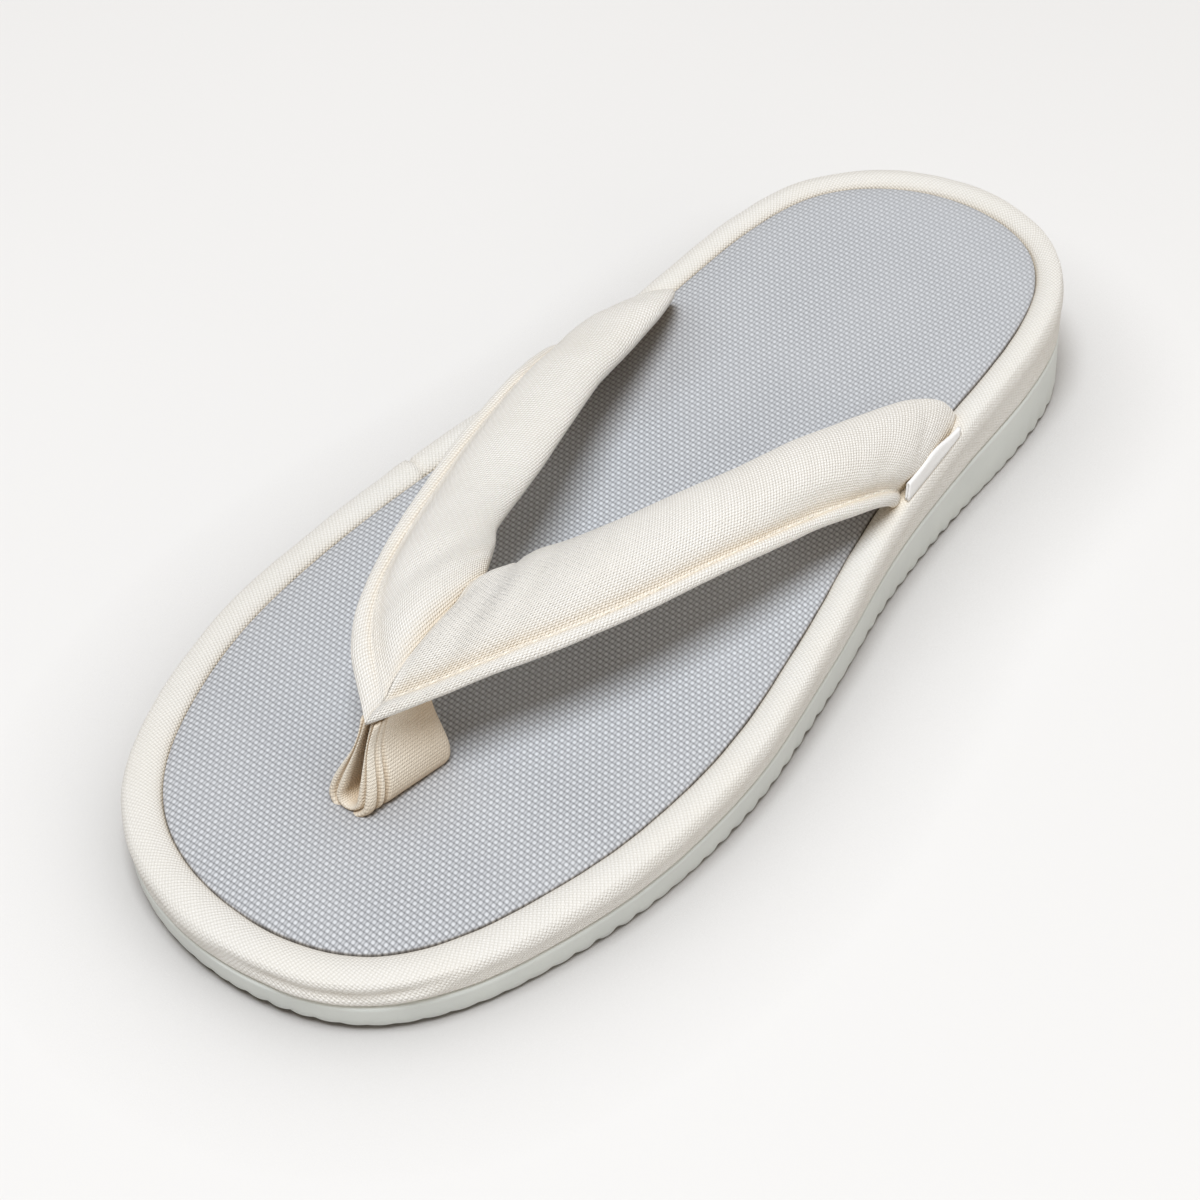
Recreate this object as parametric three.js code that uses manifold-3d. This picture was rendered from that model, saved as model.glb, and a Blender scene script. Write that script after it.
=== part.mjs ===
// Cloth room zori for the left foot: foam wedge sole, padded insole and a V of padded straps.
// Millimetres. +X points to the toe, +Y to the outer side of the foot, +Z up, floor at z = 0.

import * as THREE from 'three';
import Module from 'manifold-3d';
import { mergeVertices } from 'three/examples/jsm/utils/BufferGeometryUtils.js';

const LENGTH = 256.6;
const MIDDLE = 0.7;
const GAP = 0.3;
const RING_POINTS = 96;

const TOE_SPRING = 1.4;
const SPRING_START = 60;
const OUTSOLE_TOE = 6.4;
const OUTSOLE_HEEL = 16.5;
const OUTSOLE_POWER = 1.5;
const OUTSOLE_INSET = 0.3;

const EDGE_TOE = 13.4;
const EDGE_HEEL = 30.6;
const EDGE_POWER = 1.8;

const INSET_SCALE_TOE = 1.15;
const INSET_SCALE_HEEL = 0.84;
const WALL_LEAN_TOE = 0.07;
const WALL_LEAN_HEEL = -0.05;

const RIM_WIDTH = 7.4;
const RIM_CROWN = 1.2;
const ROLL_TOE = 4.4;
const ROLL_HEEL = 7.0;
const ROLL_POWER = 0.6;
const RECESS_DEPTH = 2.6;

const INSOLE_DOME = 1.1;
const INSOLE_SLACK = 0.38;

const STRAP_STEPS = 3;
const MITRE_LAP = 0.8;
const MITRE_TUCK = 0.7;

const POST_STEPS = 6;
const POST_ARC_STEPS = 6;
const POST_SIDE = [0.35, 0.55, 0.78, 1];
const POST_TOP_FRONT = new THREE.Vector3(84.0, 1.8, 36.6);
const POST_TOP_REAR = new THREE.Vector3(71.5, 3.0, 38.9);
const POST_BASE_FRONT = new THREE.Vector3(90.0, -0.2, 13.6);
const POST_BASE_REAR = new THREE.Vector3(70.0, 3.6, 13.6);
const POST_HALF_BASE = 4.8;
const POST_HALF_TOP = 2.0;
const POST_BELLY = 0.9;
const POST_ROUND = 0.18;
const POST_SLOT_HALF = 1.9;
const POST_SLOT_TAPER = 0.8;
const POST_SLOT_LOW = 0.12;
const POST_SLOT_HIGH = 0.72;

const LABEL_STEPS = 8;
const LABEL_START = 0.02;
const LABEL_END = 0.8;
const LABEL_THICK = 0.9;
const LABEL_HEIGHT = 5.3;
const LABEL_OFFSET = 2.3;
const LABEL_LEAN = 0.6;
const LABEL_SHEAR = 1.2;

// Sole outline seen from above. turn: degrees from the toe, round to the heel;
// reach: half width divided by the sine of turn; drift: sideways shift of the middle.
const OUTLINE = [
  { turn: 0, reach: 88.0, drift: 1.5 },
  { turn: 15, reach: 85.0, drift: 1.0 },
  { turn: 30, reach: 76.5, drift: -0.5 },
  { turn: 45, reach: 68.5, drift: -1.0 },
  { turn: 60, reach: 63.0, drift: -0.5 },
  { turn: 75, reach: 57.0, drift: 0.5 },
  { turn: 90, reach: 50.5, drift: 0.5 },
  { turn: 105, reach: 46.0, drift: 0.5 },
  { turn: 120, reach: 48.0, drift: 1.0 },
  { turn: 135, reach: 56.0, drift: 2.0 },
  { turn: 150, reach: 66.5, drift: 3.5 },
  { turn: 165, reach: 74.0, drift: 5.5 },
  { turn: 180, reach: 76.5, drift: 6.0 },
];

// Strap sections, from the mitre over the toes to the seat at the sole edge.
// front and back: the two edges of the strap; pad: share of the full padding.
const OUTER_STRAP = [
  { front: [86.5, 2.5, 36.5], back: [50.0, 1.5, 43.0], pad: 1.0 },
  { front: [75.0, 8.5, 37.0], back: [38.5, 4.5, 44.0], pad: 1.0 },
  { front: [63.5, 14.5, 38.0], back: [32.0, 8.0, 44.5], pad: 1.0 },
  { front: [41.0, 26.0, 39.5], back: [19.0, 13.5, 44.5], pad: 1.0 },
  { front: [14.0, 35.0, 39.0], back: [-1.0, 20.5, 44.0], pad: 1.0 },
  { front: [-7.5, 39.5, 35.0], back: [-20.5, 25.5, 42.0], pad: 1.0 },
  { front: [-21.0, 41.5, 30.5], back: [-37.5, 29.0, 38.0], pad: 1.0 },
  { front: [-30.0, 42.0, 26.0], back: [-52.0, 32.0, 34.0], pad: 0.9 },
  { front: [-35.0, 41.0, 21.0], back: [-61.0, 35.5, 29.5], pad: 0.65 },
  { front: [-37.0, 40.0, 16.5], back: [-65.0, 38.5, 23.0], pad: 0.45 },
];
const INNER_STRAP = [
  { front: [86.5, 2.5, 36.5], back: [50.0, 1.5, 43.0], pad: 1.0 },
  { front: [73.0, -12.0, 37.0], back: [40.5, -3.0, 43.5], pad: 1.0 },
  { front: [60.5, -19.0, 38.5], back: [35.0, -6.0, 44.0], pad: 1.0 },
  { front: [39.0, -25.5, 39.0], back: [21.5, -8.5, 44.0], pad: 1.0 },
  { front: [14.0, -32.0, 37.5], back: [2.5, -13.0, 43.0], pad: 1.0 },
  { front: [-7.0, -36.5, 34.5], back: [-15.0, -18.5, 40.0], pad: 1.0 },
  { front: [-19.5, -39.5, 30.5], back: [-33.0, -22.5, 36.0], pad: 1.0 },
  { front: [-28.5, -40.5, 26.0], back: [-48.0, -26.0, 33.5], pad: 0.95 },
  { front: [-34.5, -39.5, 21.0], back: [-57.5, -30.0, 29.5], pad: 0.75 },
  { front: [-37.5, -38.5, 16.5], back: [-58.5, -35.0, 20.5], pad: 0.5 },
];

// Cut through a strap. across: from the flange edge to the back edge; top and under: thickness.
const STRAP_SECTION = [
  { across: 0.0, top: 0.5, under: 0.5 },
  { across: 0.02, top: 1.0, under: 0.9 },
  { across: 0.12, top: 1.2, under: 1.0 },
  { across: 0.15, top: 1.3, under: 1.2 },
  { across: 0.2, top: 2.5, under: 1.8 },
  { across: 0.32, top: 4.1, under: 2.6 },
  { across: 0.5, top: 5.0, under: 3.1 },
  { across: 0.68, top: 4.8, under: 3.1 },
  { across: 0.84, top: 3.8, under: 2.6 },
  { across: 0.94, top: 2.4, under: 1.8 },
  { across: 1.0, top: 0.7, under: 0.7 },
];

const wasm = await Module();
wasm.setup();

function spline(a, b, c, d, t) {
  const even = 2 * b + (c - a) * t + (2 * a - 5 * b + 4 * c - d) * t * t;
  return 0.5 * (even + (3 * b - a - 3 * c + d) * t * t * t);
}

function outlineColumn(name, turn) {
  const pitch = OUTLINE[1].turn;
  const last = OUTLINE.length - 1;
  const at = (k) => OUTLINE[last - Math.abs(last - Math.abs(k))][name];
  const k = Math.min(Math.floor(turn / pitch), last - 1);
  return spline(at(k - 1), at(k), at(k + 1), at(k + 2), turn / pitch - k);
}

function outlinePoint(i) {
  const angle = (2 * Math.PI * i) / RING_POINTS;
  const turn = THREE.MathUtils.radToDeg(Math.acos(Math.cos(angle)));
  const y = outlineColumn('drift', turn) + outlineColumn('reach', turn) * Math.sin(angle);
  return new THREE.Vector2(MIDDLE + (LENGTH / 2) * Math.cos(angle), y);
}

const OUTLINE_RING = Array.from({ length: RING_POINTS }, (_, i) => outlinePoint(i));

function heelShare(x) {
  return THREE.MathUtils.clamp(0.5 - x / LENGTH, 0, 1);
}

function floorHeight(x) {
  const rise = THREE.MathUtils.clamp((x - SPRING_START) / (LENGTH / 2 - SPRING_START), 0, 1);
  return TOE_SPRING * rise * rise;
}

function outsoleTop(x) {
  return floorHeight(x) + OUTSOLE_TOE + (OUTSOLE_HEEL - OUTSOLE_TOE) * heelShare(x) ** OUTSOLE_POWER;
}

function edgeHeight(x) {
  return EDGE_TOE + (EDGE_HEEL - EDGE_TOE) * heelShare(x) ** EDGE_POWER;
}

// Where the wall begins to roll over into the rim.
function rollHeight(x) {
  return edgeHeight(x) - ROLL_TOE - (ROLL_HEEL - ROLL_TOE) * heelShare(x) ** ROLL_POWER;
}

// Insets are widest round the toe and narrow towards the heel.
function insetScale(x) {
  return THREE.MathUtils.lerp(INSET_SCALE_HEEL, INSET_SCALE_TOE, (1 - heelShare(x)) ** 3);
}

// How far the wall moves inward for each millimetre down from the sole edge.
function wallLean(x) {
  return THREE.MathUtils.lerp(WALL_LEAN_TOE, WALL_LEAN_HEEL, heelShare(x));
}

function layerRing({ inset, height }) {
  return OUTLINE_RING.map((p, i) => {
    const before = OUTLINE_RING[(i + RING_POINTS - 1) % RING_POINTS];
    const after = OUTLINE_RING[(i + 1) % RING_POINTS];
    const along = after.clone().sub(before).normalize();
    const drop = Math.max(edgeHeight(p.x) - height(p.x), 0);
    const shift = inset * insetScale(p.x) + wallLean(p.x) * drop;
    const x = p.x - along.y * shift;
    return new THREE.Vector3(x, p.y + along.x * shift, height(x));
  });
}

function closedGeometry(points, faces) {
  let volume = 0;
  for (const [a, b, c] of faces) {
    volume += points[a].dot(new THREE.Vector3().crossVectors(points[b], points[c]));
  }
  const index = volume > 0 ? faces.flat() : faces.flatMap(([a, b, c]) => [a, c, b]);
  const geometry = new THREE.BufferGeometry();
  const flat = points.flatMap((p) => [p.x, p.y, p.z]);
  geometry.setAttribute('position', new THREE.Float32BufferAttribute(flat, 3));
  geometry.setIndex(index);
  return geometry;
}

function bridge(faces, from, to, count) {
  for (let i = 0; i < count; i += 1) {
    const j = (i + 1) % count;
    faces.push([from + i, from + j, to + j], [from + i, to + j, to + i]);
  }
}

// A lid across a ring whose points i and count - i face each other.
function lid(faces, start, count, upward) {
  const add = (a, b, c) => faces.push(upward ? [a, b, c] : [a, c, b]);
  const half = count / 2;
  for (let i = 0; i < half; i += 1) {
    const left = start + i;
    const right = start + ((count - i) % count);
    if (i > 0) {
      add(right, left, left + 1);
    }
    if (i < half - 1) {
      add(right, left + 1, right === start ? start + count - 1 : right - 1);
    }
  }
}

function ringStack(layers) {
  const points = [];
  const faces = [];
  layers.forEach((layer, k) => {
    points.push(...layerRing(layer));
    if (k > 0) {
      bridge(faces, (k - 1) * RING_POINTS, k * RING_POINTS, RING_POINTS);
    }
  });
  lid(faces, 0, RING_POINTS, false);
  lid(faces, (layers.length - 1) * RING_POINTS, RING_POINTS, true);
  return closedGeometry(points, faces);
}

function outsoleLayers() {
  const side = OUTSOLE_INSET;
  return [
    { inset: side + 0.9, height: floorHeight },
    { inset: side + 0.2, height: (x) => floorHeight(x) + 0.6 },
    { inset: side, height: (x) => floorHeight(x) + 2.0 },
    { inset: side, height: (x) => outsoleTop(x) - 0.5 },
    { inset: side + 0.5, height: outsoleTop },
  ];
}

function rimLayers(lift) {
  const rise = (share) => (x) => edgeHeight(x) + RIM_CROWN * share + lift;
  return [
    { inset: 0.7 - lift, height: rise(0.15) },
    { inset: 2.0, height: rise(0.75) },
    { inset: 3.7, height: rise(1.0) },
    { inset: 5.4, height: rise(0.75) },
    { inset: 6.7, height: rise(0.2) },
  ];
}

function midsoleLayers() {
  const roll = (share) => (x) => THREE.MathUtils.lerp(rollHeight(x), edgeHeight(x), share);
  return [
    { inset: 1.1, height: (x) => outsoleTop(x) + GAP },
    { inset: 0.4, height: (x) => outsoleTop(x) + GAP + 0.4 },
    { inset: 0.3, height: roll(0) },
    { inset: 0.2, height: roll(0.3) },
    { inset: 0.0, height: roll(0.65) },
    ...rimLayers(0),
    { inset: RIM_WIDTH, height: (x) => edgeHeight(x) - 0.9 },
    { inset: RIM_WIDTH, height: (x) => edgeHeight(x) - RECESS_DEPTH },
  ];
}

function cushionLayers(lift) {
  const rise = (share) => (x) => edgeHeight(x) + INSOLE_DOME * share + lift;
  return [
    { inset: 8.0, height: rise(-0.1) },
    { inset: 9.8, height: rise(0.45) },
    { inset: 13.5, height: rise(0.8) },
    { inset: 20.0, height: rise(1.0) },
  ];
}

function insoleLayers() {
  const inset = RIM_WIDTH + INSOLE_SLACK;
  return [
    { inset, height: (x) => edgeHeight(x) - RECESS_DEPTH + GAP },
    { inset, height: (x) => edgeHeight(x) - 0.8 },
    ...cushionLayers(0),
  ];
}

// The sole with its top raised by the gap: what the pieces above are trimmed by.
function trimLayers() {
  return [
    { inset: -GAP, height: outsoleTop },
    { inset: -GAP, height: rollHeight },
    ...rimLayers(GAP),
    ...cushionLayers(GAP),
  ];
}

function strapRow(table, at) {
  const last = table.length - 1;
  const k = Math.min(Math.floor(at), last - 1);
  const t = at - k;
  const mix = (read) => {
    const row = (n) => {
      if (n < 0) {
        return 2 * read(table[0]) - read(table[1]);
      }
      return n > last ? 2 * read(table[last]) - read(table[last - 1]) : read(table[n]);
    };
    return spline(row(k - 1), row(k), row(k + 1), row(k + 2), t);
  };
  const point = (edge) => new THREE.Vector3(...[0, 1, 2].map((axis) => mix((r) => r[edge][axis])));
  return { front: point('front'), back: point('back'), pad: mix((r) => r.pad) };
}

function strapRing(table, at, side, swell) {
  const row = strapRow(table, at);
  const middle = (s) => {
    const r = strapRow(table, THREE.MathUtils.clamp(s, 0, table.length - 1));
    return r.front.add(r.back).multiplyScalar(0.5);
  };
  const along = at === 0 ? new THREE.Vector3(0, side, 0) : middle(at + 0.1).sub(middle(at - 0.1));
  const across = row.back.clone().sub(row.front);
  const up = new THREE.Vector3().crossVectors(along, across).normalize().multiplyScalar(side);
  const out = across.clone().normalize();
  const lap = at === 0 ? (side * MITRE_LAP) / 2 : 0;
  const tuck = at === 0 && side < 0 ? MITRE_TUCK : 1;
  const spot = (share, height) => {
    const p = row.front.clone().addScaledVector(across, share).addScaledVector(up, height);
    p.addScaledVector(out, swell * (2 * share - 1));
    p.y += lap;
    return p;
  };
  const top = STRAP_SECTION.map((c) => spot(c.across, c.top * row.pad * tuck + swell));
  const under = STRAP_SECTION.map((c) => spot(c.across, -c.under * row.pad - swell));
  return [...top, ...under.reverse()];
}

function strapGeometry(swell) {
  const rings = [];
  const steps = (table) => (table.length - 1) * STRAP_STEPS;
  for (let k = steps(INNER_STRAP); k >= 0; k -= 1) {
    rings.push(strapRing(INNER_STRAP, k / STRAP_STEPS, -1, swell));
  }
  for (let k = 0; k <= steps(OUTER_STRAP); k += 1) {
    rings.push(strapRing(OUTER_STRAP, k / STRAP_STEPS, 1, swell));
  }
  const count = rings[0].length;
  const faces = [];
  for (let k = 1; k < rings.length; k += 1) {
    bridge(faces, (k - 1) * count, k * count, count);
  }
  const ends = [{ start: 0, flip: true }, { start: (rings.length - 1) * count, flip: false }];
  for (const { start, flip } of ends) {
    for (let i = 0; i < count / 2 - 1; i += 1) {
      const a = start + i;
      const b = start + count - 1 - i;
      const pair = [[a, a + 1, b], [a + 1, b - 1, b]];
      faces.push(...pair.map((f) => (flip ? [f[0], f[2], f[1]] : f)));
    }
  }
  return closedGeometry(rings.flat(), faces);
}

// The loop of the toe post seen from the front, from its left side round the foot and over the top.
function postLoop() {
  const loop = [];
  for (let i = 0; i <= POST_ARC_STEPS; i += 1) {
    const angle = (Math.PI * i) / POST_ARC_STEPS;
    loop.push({ lift: POST_ROUND * (1 - Math.sin(angle)), spread: -Math.cos(angle) });
  }
  POST_SIDE.forEach((lift) => loop.push({ lift, spread: 1 }));
  POST_SIDE.toReversed().forEach((lift) => loop.push({ lift, spread: -1 }));
  return loop;
}

function postHalf(lift) {
  const straight = THREE.MathUtils.lerp(POST_HALF_BASE, POST_HALF_TOP, lift);
  return straight + POST_BELLY * Math.sin(2 * Math.PI * lift);
}

// The toe post: a strip doubled into a loop, open from front to rear, pinched at the top.
function postGeometry() {
  const loop = postLoop();
  const count = loop.length;
  const points = [];
  for (let k = 0; k <= POST_STEPS; k += 1) {
    const top = POST_TOP_FRONT.clone().lerp(POST_TOP_REAR, k / POST_STEPS);
    const base = POST_BASE_FRONT.clone().lerp(POST_BASE_REAR, k / POST_STEPS);
    const add = (lift, side) => {
      const p = base.clone().lerp(top, lift);
      p.y += side;
      points.push(p);
    };
    loop.forEach(({ lift, spread }) => add(lift, spread * postHalf(lift)));
    loop.forEach(({ lift, spread }) => {
      const half = POST_SLOT_HALF * (1 - POST_SLOT_TAPER * lift);
      add(THREE.MathUtils.lerp(POST_SLOT_LOW, POST_SLOT_HIGH, lift), spread * half);
    });
  }
  const faces = [];
  const row = 2 * count;
  for (let k = 0; k < POST_STEPS; k += 1) {
    bridge(faces, k * row, (k + 1) * row, count);
    bridge(faces, (k + 1) * row + count, k * row + count, count);
  }
  bridge(faces, count, 0, count);
  bridge(faces, POST_STEPS * row, POST_STEPS * row + count, count);
  return closedGeometry(points, faces);
}

// A tape folded flat, standing on the rim beside the end of the outer strap.
function labelGeometry() {
  const { front, back } = strapRow(OUTER_STRAP, OUTER_STRAP.length - 1);
  const rings = [];
  for (let k = 0; k <= LABEL_STEPS; k += 1) {
    const p = front.clone().lerp(back, THREE.MathUtils.lerp(LABEL_START, LABEL_END, k / LABEL_STEPS));
    const foot = edgeHeight(p.x);
    const low = p.y + LABEL_OFFSET;
    const high = low - LABEL_LEAN;
    rings.push([
      new THREE.Vector3(p.x, low, foot),
      new THREE.Vector3(p.x, low + LABEL_THICK, foot),
      new THREE.Vector3(p.x - LABEL_SHEAR, high + LABEL_THICK, foot + LABEL_HEIGHT),
      new THREE.Vector3(p.x - LABEL_SHEAR, high, foot + LABEL_HEIGHT),
    ]);
  }
  const faces = [];
  for (let k = 1; k < rings.length; k += 1) {
    bridge(faces, (k - 1) * 4, k * 4, 4);
  }
  const last = (rings.length - 1) * 4;
  faces.push([0, 2, 1], [0, 3, 2], [last, last + 1, last + 2], [last, last + 2, last + 3]);
  return closedGeometry(rings.flat(), faces);
}

function toManifold(geometry) {
  return new wasm.Manifold(
    new wasm.Mesh({
      numProp: 3,
      vertProperties: new Float32Array(geometry.getAttribute('position').array),
      triVerts: new Uint32Array(geometry.index.array),
    }),
  );
}

function fromManifold(solid) {
  const mesh = solid.getMesh();
  const geometry = new THREE.BufferGeometry();
  geometry.setAttribute('position', new THREE.Float32BufferAttribute(mesh.vertProperties, 3));
  geometry.setIndex(Array.from(mesh.triVerts));
  return mergeVertices(geometry, 1e-4);
}

function trimmed(geometry, ...cutters) {
  let solid = toManifold(geometry);
  for (const cutter of cutters) {
    solid = solid.subtract(toManifold(cutter));
  }
  const bodies = solid.decompose().sort((a, b) => b.volume() - a.volume());
  return fromManifold(bodies[0]);
}

function piece(name, geometry, color) {
  const material = new THREE.MeshStandardMaterial({ color, roughness: 0.9 });
  geometry.computeVertexNormals();
  const mesh = new THREE.Mesh(geometry, material);
  mesh.name = name;
  return mesh;
}

const CANVAS = 0xe9e6dc;
const trim = ringStack(trimLayers());
const part = new THREE.Group();
part.name = 'room_zori_left';
part.add(
  piece('outsole', ringStack(outsoleLayers()), 0xb9bdb6),
  piece('midsole', ringStack(midsoleLayers()), CANVAS),
  piece('insole', ringStack(insoleLayers()), 0xbcbfc4),
  piece('strap', trimmed(strapGeometry(0), trim), CANVAS),
  piece('toe_post', trimmed(postGeometry(), trim, strapGeometry(GAP)), CANVAS),
  piece('side_label', trimmed(labelGeometry(), trim, strapGeometry(GAP)), 0xf4f3f0),
);

export default part;
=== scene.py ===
"""Looks of the left room zori sandal: canvas wrap and straps, woven insole, foam sole.

Lengths are millimetres and become metres through MM. +X is the toe, +Y the outer side, +Z up.
"""

import math

import bmesh
import bpy
import numpy as np
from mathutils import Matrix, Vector, noise


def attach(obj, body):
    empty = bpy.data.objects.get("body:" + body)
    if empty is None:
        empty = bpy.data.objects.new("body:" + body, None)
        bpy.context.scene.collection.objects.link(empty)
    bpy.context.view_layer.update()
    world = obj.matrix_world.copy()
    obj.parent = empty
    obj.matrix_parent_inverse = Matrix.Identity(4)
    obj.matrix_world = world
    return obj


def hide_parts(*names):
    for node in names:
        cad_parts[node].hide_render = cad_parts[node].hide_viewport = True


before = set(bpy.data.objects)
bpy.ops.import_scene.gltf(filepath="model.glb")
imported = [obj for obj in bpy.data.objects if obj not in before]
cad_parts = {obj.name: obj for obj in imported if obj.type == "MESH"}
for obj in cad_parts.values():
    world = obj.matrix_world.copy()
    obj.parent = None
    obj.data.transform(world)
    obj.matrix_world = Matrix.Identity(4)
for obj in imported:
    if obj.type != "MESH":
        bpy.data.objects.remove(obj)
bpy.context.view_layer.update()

MM = 0.001
UV_NAME = "cloth"
# Added to a direction, so that one without length isn't divided by zero.
TINY = 1e-12

# Gap that is kept between pieces that lie on each other.
GAP = 0.3

# Sole. Heights are given at the toe and at the heel, with the power of the curve between them.
LENGTH = 256.6
MIDDLE = 0.7
TOE_SPRING = 1.4
SPRING_START = 60
OUTSOLE_TOE = 6.4
OUTSOLE_HEEL = 16.5
OUTSOLE_POWER = 1.5
OUTSOLE_INSET = 0.3
EDGE_TOE = 13.4
EDGE_HEEL = 30.6
EDGE_POWER = 1.8

# The roll of the wrap starts this far below the sole edge, in a shallow crease.
ROLL_TOE = 4.4
ROLL_HEEL = 7.0
ROLL_POWER = 0.6
ROLL_CREASE = 0.3

INSET_SCALE_TOE = 1.15
INSET_SCALE_HEEL = 0.84
INSET_SCALE_POWER = 3
WALL_LEAN_TOE = 0.07
WALL_LEAN_HEEL = -0.05

# Points round the outline for each piece of the sole, and rings between two given ones.
OUTSOLE_STEPS = 1200
WRAP_STEPS = 1080
INSOLE_STEPS = 720
SURFACE_STEPS = 720
RING_STEPS = 3

# Rim and insole in section. Columns: inset from the outline, share of the crown or of the dome.
RIM_WIDTH = 7.4
RIM_CROWN = 1.2
RIM_LAYERS = [(0.7, 0.15), (2.0, 0.75), (3.7, 1.0), (5.4, 0.75), (6.7, 0.2)]
RECESS_DEPTH = 2.6
INSOLE_DOME = 1.1
INSOLE_SLACK = 0.05
DOME_LAYERS = [(7.9, 0.1), (9.8, 0.45), (13.5, 0.8), (20.0, 1.0)]
DOME_COLUMNS = 16

# Surface that the straps and the label are seated on: wall, rim, joint and insole.
# Columns: inset from the outline, rise above the sole edge.
SOLE_PROFILE = np.array([
    (0.0, -1.0),
    *[(inset, RIM_CROWN * share) for inset, share in RIM_LAYERS],
    (8.0, -0.1),
    (9.8, 0.5),
    (13.5, 0.88),
    (20.0, INSOLE_DOME),
])

# Wavy cross grooves under the sole.
TREAD_PITCH = 5.0
TREAD_DEPTH = 0.8
TREAD_SWING = 2.2
TREAD_SWING_PITCH = 21.0
TREAD_COLUMNS = 44

# Notches round the lower edge of the sole. Their spacing drifts and their depth changes.
SCALLOP_PITCH = 5.0
SCALLOP_DRIFT = 0.25
SCALLOP_DRIFT_LENGTH = 17
SCALLOP_DEPTH = 1.4
SCALLOP_MEAN = 0.6
SCALLOP_CHANGE = 0.4
SCALLOP_CHANGE_LENGTHS = (23, 7)
SCALLOP_INSET = 0.3
# Share of the notch in each of the lowest rings.
SCALLOP_RINGS = (1.0, 0.95, 0.35)
# Share of the depth left at the toe, and where along x the notches start and end fading to it.
SCALLOP_TOE_SHARE = 0.35
SCALLOP_TOE_FADE = (45.0, 105.0)

# Lumps of soft cloth. Columns: height, size, seed.
WRAP_LUMPS = [(0.2, 17.0, 3.1), (0.1, 6.0, 8.7)]
STRAP_LUMPS = [(0.22, 15.0, 1.7), (0.08, 5.0, 5.3)]
# Share of the way over the wrap where its lumps and folds rise, and where they fade out.
WRAP_RISE = (0.03, 0.15)
WRAP_FADE = (0.9, 0.99)

# Sole outline seen from above, one row each 15 degrees from the toe round to the heel.
# Columns: reach (half width divided by the sine of the turn), drift (sideways shift).
OUTLINE_PITCH = 15
REACH, DRIFT = 0, 1
OUTLINE = np.array([
    (88.0, 1.5),
    (85.0, 1.0),
    (76.5, -0.5),
    (68.5, -1.0),
    (63.0, -0.5),
    (57.0, 0.5),
    (50.5, 0.5),
    (46.0, 0.5),
    (48.0, 1.0),
    (56.0, 2.0),
    (66.5, 3.5),
    (74.0, 5.5),
    (76.5, 6.0),
])

# Strap sections, from the mitre over the toes to the seat at the sole edge.
# Columns: front edge x, y, z, back edge x, y, z, share of the full padding.
OUTER_STRAP = np.array([
    (86.5, 2.5, 36.5, 50.0, 1.5, 43.0, 1.0),
    (75.0, 8.5, 37.0, 38.5, 4.5, 44.0, 1.0),
    (63.5, 14.5, 38.0, 32.0, 8.0, 44.5, 1.0),
    (41.0, 26.0, 39.5, 19.0, 13.5, 44.5, 1.0),
    (14.0, 35.0, 39.0, -1.0, 20.5, 44.0, 1.0),
    (-7.5, 39.5, 35.0, -20.5, 25.5, 42.0, 1.0),
    (-21.0, 41.5, 30.5, -37.5, 29.0, 38.0, 1.0),
    (-30.0, 42.0, 26.0, -52.0, 32.0, 34.0, 0.9),
    (-35.0, 41.0, 21.0, -61.0, 35.5, 29.5, 0.65),
    (-37.0, 40.0, 16.5, -65.0, 38.5, 23.0, 0.45),
])
INNER_STRAP = np.array([
    (86.5, 2.5, 36.5, 50.0, 1.5, 43.0, 1.0),
    (73.0, -12.0, 37.0, 40.5, -3.0, 43.5, 1.0),
    (60.5, -19.0, 38.5, 35.0, -6.0, 44.0, 1.0),
    (39.0, -25.5, 39.0, 21.5, -8.5, 44.0, 1.0),
    (14.0, -32.0, 37.5, 2.5, -13.0, 43.0, 1.0),
    (-7.0, -36.5, 34.5, -15.0, -18.5, 40.0, 1.0),
    (-19.5, -39.5, 30.5, -33.0, -22.5, 36.0, 1.0),
    (-28.5, -40.5, 26.0, -48.0, -26.0, 33.5, 0.95),
    (-34.5, -39.5, 21.0, -57.5, -30.0, 29.5, 0.75),
    (-37.5, -38.5, 16.5, -58.5, -35.0, 20.5, 0.5),
])

# Cut through a strap, once round. Columns: share across from the flange edge, height.
STRAP_SECTION = np.array([
    (0.0, 0.1),
    (0.006, 0.9),
    (0.035, 1.6),
    (0.075, 1.75),
    (0.115, 1.35),
    (0.14, 0.65),
    (0.165, 0.5),
    (0.195, 1.15),
    (0.25, 2.6),
    (0.35, 4.1),
    (0.5, 5.0),
    (0.68, 4.8),
    (0.84, 3.8),
    (0.94, 2.4),
    (0.99, 1.1),
    (1.0, 0.0),
    (0.985, -0.9),
    (0.94, -1.8),
    (0.84, -2.6),
    (0.68, -3.1),
    (0.5, -3.1),
    (0.32, -2.6),
    (0.2, -1.8),
    (0.15, -1.0),
    (0.08, -1.2),
    (0.02, -0.8),
])
# Where the stitches lie in that cut.
VALLEY_SHARE = 0.15
VALLEY_HEIGHT = 0.5

# Straps. Rows and spreads along them are counted in rows of the two tables above.
STRAP_STEPS = 150
STRAP_POWER = 1.15
SECTION_STEPS = 4
ROW_LENGTH = 14.0
SLOPE_STEP = 0.05
# Near the mitre the sections turn square to the part's middle line, over this many rows.
SQUARE_ROWS = 0.9
SEAT_START = 6.0
SEAT_STEPS = 90
SEAT_POWER = 4
# Rings at each end of the straps over which their forms fade in.
END_RINGS = 6
# At the mitre the inner strap is tucked in, and the outer one is rounded and laps over it.
# The ear is the back corner of that lap.
MITRE_TUCK = 0.8
MITRE_TUCK_SPREAD = 0.34
MITRE_ROUND = 0.35
MITRE_ROUND_SPREAD = 0.1
MITRE_LAP = 0.6
MITRE_LAP_SPREAD = 0.06
MITRE_LAP_SHARES = (0.1, 0.3)
EAR_REACH = 1.2
EAR_SPREAD = 0.2
EAR_SHARES = (0.78, 0.97)
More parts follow.
